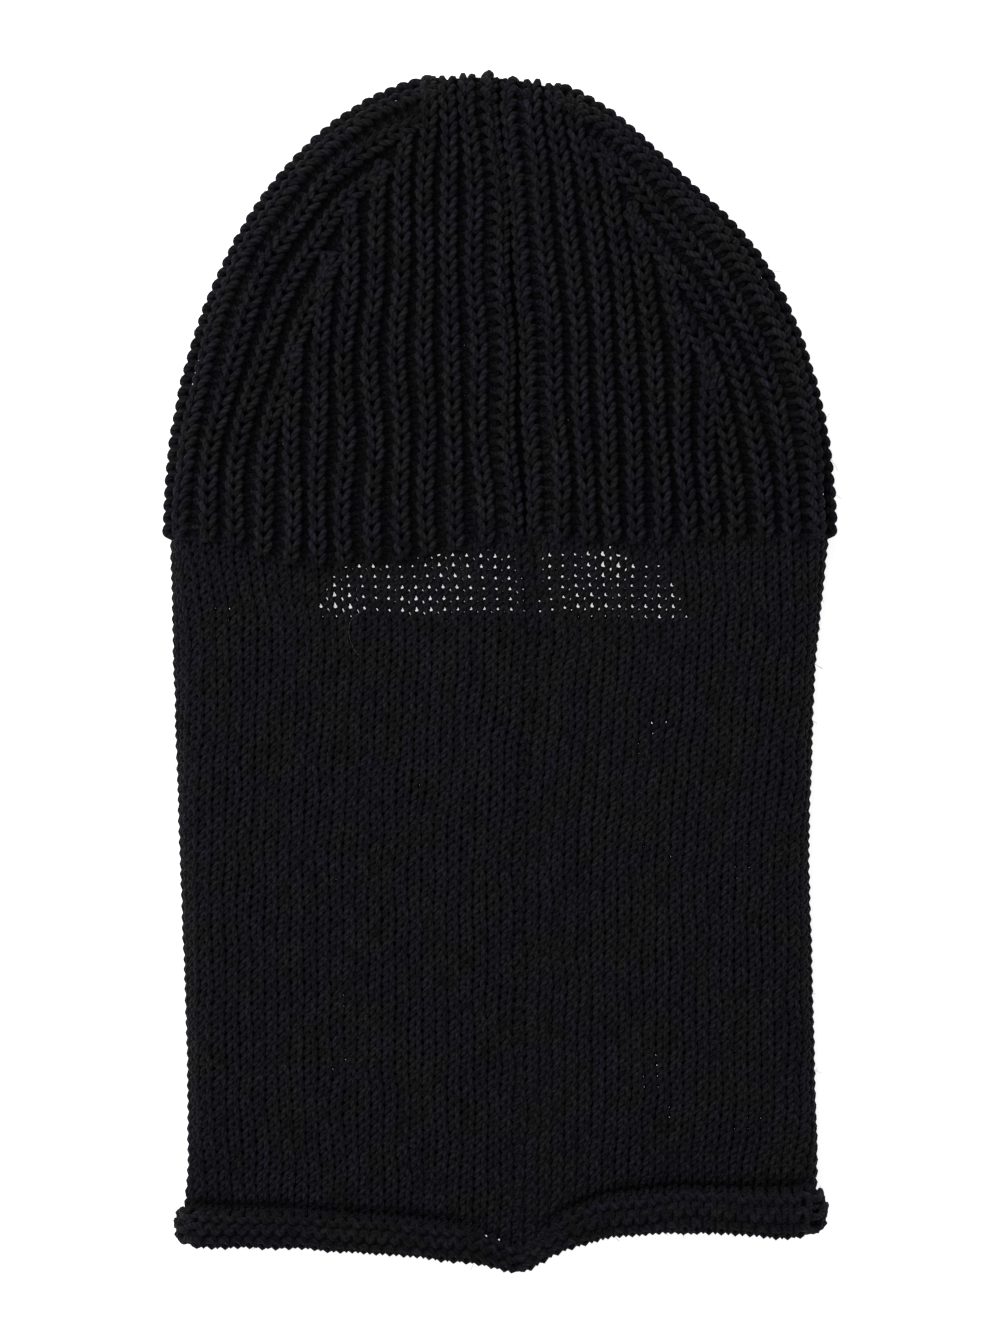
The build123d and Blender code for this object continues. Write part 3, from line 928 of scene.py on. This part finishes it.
def make_label(tape, yarn):
    """Blank woven tab, folded and sewn to the inside of the neck seam along one side."""
    x, z = folded_tape_section()
    along = np.stack([np.gradient(x), np.gradient(z)], axis=-1)
    along = along / np.linalg.norm(along, axis=1, keepdims=True)
    outward = np.stack([-along[:, 1], along[:, 0]], axis=-1) * LABEL_TAPE / 2
    ring_x = np.concatenate([x + outward[:, 0], (x - outward[:, 0])[::-1]])
    ring_z = np.concatenate([z + outward[:, 1], (z - outward[:, 1])[::-1]])
    rows = np.linspace(LABEL_LOW[1], LABEL_HIGH[1], LABEL_ROWS)
    sides = len(ring_x)
    vertices = []
    freedom = LABEL_WAVE * (ring_x - LABEL_LOW[0]) / (LABEL_HIGH[0] - LABEL_LOW[0])
    for y in rows:
        wave = np.sin((y - rows[0]) / 6.0) * freedom
        vertices += [(px * MM, y * MM, pz * MM) for px, pz in zip(ring_x, ring_z + wave)]
    faces = [tuple(range(sides)), tuple(range((LABEL_ROWS - 1) * sides, LABEL_ROWS * sides))[::-1]]
    for row in range(LABEL_ROWS - 1):
        for corner in range(sides):
            following = (corner + 1) % sides
            a, b = row * sides, (row + 1) * sides
            faces.append((a + corner, b + corner, b + following, a + following))
    mesh = bpy.data.meshes.new("care_label")
    mesh.from_pydata(vertices, [], faces)
    mesh.validate()
    label = bpy.data.objects.new("care_label_tape", mesh)
    bpy.context.scene.collection.objects.link(label)
    finish_piece(label, tape, "label_tape", "care_label")
    stitching = make_label_stitches(ring_z.max(), yarn)


# -------- materials

CROWN_DARK = (0.0037, 0.0037, 0.0038)
CROWN_LIGHT = (0.0190, 0.0185, 0.0208)
# Groove colours: the crown yarn's tones at about half, painted shade for the depth of the grooves between
# the ribs.
GROOVE_PAINTED_SHADE_DARK = (0.0020, 0.0020, 0.0021)
GROOVE_PAINTED_SHADE_LIGHT = (0.0085, 0.0083, 0.0094)
HAIR_DARK = (0.05, 0.05, 0.05)
HAIR_LIGHT = (0.12, 0.12, 0.12)
NECK_DARK = (0.0035, 0.0035, 0.0036)
NECK_LIGHT = (0.0155, 0.0150, 0.0174)
NEUTRAL_TINT = (1.0, 1.0, 0.98)
LAVENDER_TINT = (0.92, 0.90, 1.35)
TAPE_DARK = (0.018, 0.018, 0.02)
TAPE_LIGHT = (0.045, 0.045, 0.05)


def new_material(name):
    """A material, its node tree and its shader."""
    material = bpy.data.materials.new(name)
    material.use_nodes = True
    return material, material.node_tree, material.node_tree.nodes["Principled BSDF"]


def add_node(tree, kind, values=(), links=(), operation=None):
    """A node of a kind, with some input values and with links from other nodes' outputs."""
    node = tree.nodes.new(kind)
    if operation:
        node.operation = operation
    for key, value in values:
        node.inputs[key].default_value = value
    for source, key in links:
        tree.links.new(source, node.inputs[key])
    return node


def add_ramp(tree, source, low, low_colour, high, high_colour):
    """Colour that goes from one to another between two values of a source. Returns its output."""
    node = add_node(tree, "ShaderNodeValToRGB", links=[(source, "Fac")])
    for element, position, colour in zip(node.color_ramp.elements, (low, high), (low_colour, high_colour)):
        element.position = position
        element.color = (*colour, 1.0)
    return node.outputs["Color"]


def add_bump(tree, height, strength, distance):
    """Relief from a height."""
    values = [("Strength", strength), ("Distance", distance)]
    return add_node(tree, "ShaderNodeBump", values, [(height, "Height")])


def ply_relief(tree):
    """Height of the twisted plies along a yarn, from its UV layer. Returns it and the UV output."""
    layer = add_node(tree, "ShaderNodeUVMap")
    layer.uv_map = "yarn"
    uv = layer.outputs["UV"]
    split = add_node(tree, "ShaderNodeSeparateXYZ", links=[(uv, 0)])
    turns = add_node(tree, "ShaderNodeMath", [(1, 1.0 / PLY_PITCH)], [(split.outputs["X"], 0)], "MULTIPLY")
    twist_links = [(turns.outputs[0], 0), (split.outputs["Y"], 1)]
    twist = add_node(tree, "ShaderNodeMath", links=twist_links, operation="ADD")
    angle = add_node(tree, "ShaderNodeMath", [(1, PLIES * math.pi)], [(twist.outputs[0], 0)], "MULTIPLY")
    wave = add_node(tree, "ShaderNodeMath", links=[(angle.outputs[0], 0)], operation="SINE")
    ply = add_node(tree, "ShaderNodeMath", links=[(wave.outputs[0], 0)], operation="ABSOLUTE")
    return ply.outputs[0], uv


def yarn_tone(tree, uv, place, dark, light):
    """Colour heathered along the yarn, in broad patches that lean from neutral grey to a lavender blue."""
    stretch = add_node(tree, "ShaderNodeMapping", [("Scale", (0.11, 2.0, 1.0))], [(uv, "Vector")])
    heather_values = [("Scale", 1.0), ("Detail", 4.0), ("Roughness", 0.65)]
    heather_links = [(stretch.outputs["Vector"], "Vector")]
    heather = add_node(tree, "ShaderNodeTexNoise", heather_values, heather_links)
    shade = add_ramp(tree, heather.outputs["Fac"], 0.32, dark, 0.70, light)
    patch_values = [("Scale", 70.0), ("Detail", 2.0)]
    patches = add_node(tree, "ShaderNodeTexNoise", patch_values, [(place, "Vector")])
    tint = add_ramp(tree, patches.outputs["Fac"], 0.42, NEUTRAL_TINT, 0.60, LAVENDER_TINT)
    tinted = add_node(tree, "ShaderNodeVectorMath", links=[(shade, 0), (tint, 1)], operation="MULTIPLY")
    return tinted.outputs["Vector"]


def yarn_material(name, dark, light):
    """Plied wool-blend yarn: twisted strands, heathered colour, fine fibres and a soft sheen."""
    material, tree, shader = new_material(name)
    shader.inputs["Roughness"].default_value = 0.9
    shader.inputs["Specular IOR Level"].default_value = 0.1
    shader.inputs["Sheen Weight"].default_value = 0.02
    shader.inputs["Sheen Roughness"].default_value = 0.5
    shader.inputs["Sheen Tint"].default_value = (0.75, 0.75, 0.9, 1.0)

    ply, uv = ply_relief(tree)
    place = add_node(tree, "ShaderNodeTexCoord").outputs["Object"]
    fibre_values = [("Scale", 1900.0), ("Detail", 3.0)]
    fibre = add_node(tree, "ShaderNodeTexNoise", fibre_values, [(place, "Vector")]).outputs["Fac"]
    # Painted shade between the plies and painted highlight on their crests: the ply height scales the yarn
    # colour from 0.35 to 1.15, besides its bump.
    ply_shade_values = [("To Min", 0.35), ("To Max", 1.15)]
    groove = add_node(tree, "ShaderNodeMapRange", ply_shade_values, [(ply, "Value")])
    speck_values = [("From Min", 0.3), ("From Max", 0.7), ("To Min", 0.55), ("To Max", 1.5)]
    specks = add_node(tree, "ShaderNodeMapRange", speck_values, [(fibre, "Value")])
    strength_links = [(groove.outputs["Result"], 0), (specks.outputs["Result"], 1)]
    strength = add_node(tree, "ShaderNodeMath", links=strength_links, operation="MULTIPLY")
    tone_links = [(yarn_tone(tree, uv, place, dark, light), 0), (strength.outputs[0], "Scale")]
    tone = add_node(tree, "ShaderNodeVectorMath", links=tone_links, operation="SCALE")
    tree.links.new(tone.outputs["Vector"], shader.inputs["Base Color"])

    ply_bump = add_bump(tree, ply, 0.9, 0.00035)
    fibre_bump = add_bump(tree, fibre, 0.6, 0.00015)
    tree.links.new(ply_bump.outputs["Normal"], fibre_bump.inputs["Normal"])
    tree.links.new(fibre_bump.outputs["Normal"], shader.inputs["Normal"])
    return material


def tape_material():
    """Black satin tape: fine woven lines along and across it."""
    material, tree, shader = new_material("label_tape")
    shader.inputs["Roughness"].default_value = 0.45
    place = add_node(tree, "ShaderNodeTexCoord").outputs["Object"]
    waves = []
    for direction, scale in (("X", 420.0), ("Y", 900.0)):
        wave = add_node(tree, "ShaderNodeTexWave", [("Scale", scale)], [(place, "Vector")])
        wave.bands_direction = direction
        waves.append(wave.outputs["Fac"])
    weave = add_node(tree, "ShaderNodeMath", links=[(waves[0], 0), (waves[1], 1)], operation="MULTIPLY")
    shade = add_ramp(tree, weave.outputs[0], 0.0, TAPE_DARK, 1.0, TAPE_LIGHT)
    tree.links.new(shade, shader.inputs["Base Color"])
    bump = add_bump(tree, weave.outputs[0], 1.0, 0.0001)
    tree.links.new(bump.outputs["Normal"], shader.inputs["Normal"])
    return material


def floor_material():
    """Plain pale floor."""
    material, _, shader = new_material("pale_floor")
    shader.inputs["Base Color"].default_value = (0.9, 0.9, 0.9, 1.0)
    shader.inputs["Roughness"].default_value = 0.8
    shader.inputs["Emission Color"].default_value = (1.0, 1.0, 1.0, 1.0)
    shader.inputs["Emission Strength"].default_value = 0.75
    return material


# -------- stage

FLOOR_HALF_WIDTH = 3.0
CAMERA_HEIGHT = 1.6
VIEW_HEIGHT_MM = 462.6
SENSOR_MM = 36.0


def make_floor():
    """Square of floor under the garment."""
    mesh = bpy.data.meshes.new("floor")
    w = FLOOR_HALF_WIDTH
    mesh.from_pydata([(-w, -w, 0), (w, -w, 0), (w, w, 0), (-w, w, 0)], [], [(0, 1, 2, 3)])
    floor = bpy.data.objects.new("floor", mesh)
    bpy.context.scene.collection.objects.link(floor)
    mesh.materials.append(floor_material())


def make_area_light(name, place, size, power):
    """Soft square light that faces the middle of the object."""
    data = bpy.data.lights.new(name, "AREA")
    data.size = size
    data.energy = power
    light = bpy.data.objects.new(name, data)
    light.location = place
    direction = -light.location.normalized()
    light.rotation_euler = direction.to_track_quat("-Z", "Y").to_euler()
    bpy.context.scene.collection.objects.link(light)


def make_camera():
    """Camera straight above the garment, whose picture is upright with the crown at the top."""
    data = bpy.data.cameras.new("camera")
    distance_mm = CAMERA_HEIGHT / MM - CROWN_MIDDLE_Z
    data.sensor_width = SENSOR_MM
    data.lens = SENSOR_MM * distance_mm / VIEW_HEIGHT_MM
    camera = bpy.data.objects.new("camera", data)
    camera.location = (0, 0, CAMERA_HEIGHT)
    bpy.context.scene.collection.objects.link(camera)
    bpy.context.scene.camera = camera


def make_world():
    """Even white light from all round."""
    world = bpy.data.worlds.new("studio")
    world.use_nodes = True
    background = world.node_tree.nodes["Background"]
    background.inputs["Color"].default_value = (1.0, 1.0, 1.0, 1.0)
    background.inputs["Strength"].default_value = 0.35
    bpy.context.scene.world = world


make_camera()
make_world()
make_floor()
make_area_light("top_light", (-0.5, 0.6, 1.1), 1.0, 11.0)
make_area_light("fill_light", (-0.4, -0.4, 1.6), 1.4, 4.0)
bpy.context.scene.view_settings.view_transform = "Standard"

crown_yarn = yarn_material("crown_yarn", CROWN_DARK, CROWN_LIGHT)
neck_yarn = yarn_material("neck_yarn", NECK_DARK, NECK_LIGHT)
neck_pieces = make_neck(neck_yarn)
neck_pieces.append(make_hem(neck_yarn))
# The crown's grooves get a darker copy of the crown yarn, painted shade.
crown_pieces = make_crown(crown_yarn, yarn_material("crown_groove_painted_shade_yarn", GROOVE_PAINTED_SHADE_DARK, GROOVE_PAINTED_SHADE_LIGHT))
grow_fibres("neck_stray_fibres", neck_pieces, NECK_FIBRES, neck_yarn, "neck_knit")
make_loose_hair(yarn_material("loose_hair", HAIR_DARK, HAIR_LIGHT))
grow_fibres("crown_stray_fibres", crown_pieces, CROWN_FIBRES, crown_yarn, "crown_knit")
make_eye_edges(neck_yarn)
make_hem_chain(neck_yarn)
make_join_seam(neck_yarn)
make_back_seam("crown_back_seam", CROWN_SEAM_LOW_Y, CROWN_SEAM_HIGH_Y, CROWN_SEAM_Z, crown_yarn)
make_back_seam("neck_back_seam", HEM_LOW[1] + 2 * ROLL_RADIUS, BASE_Y - EDGE_BAND, NECK_SEAM_Z, neck_yarn)
make_gather_yarn(crown_yarn)
make_label(tape_material(), neck_yarn)
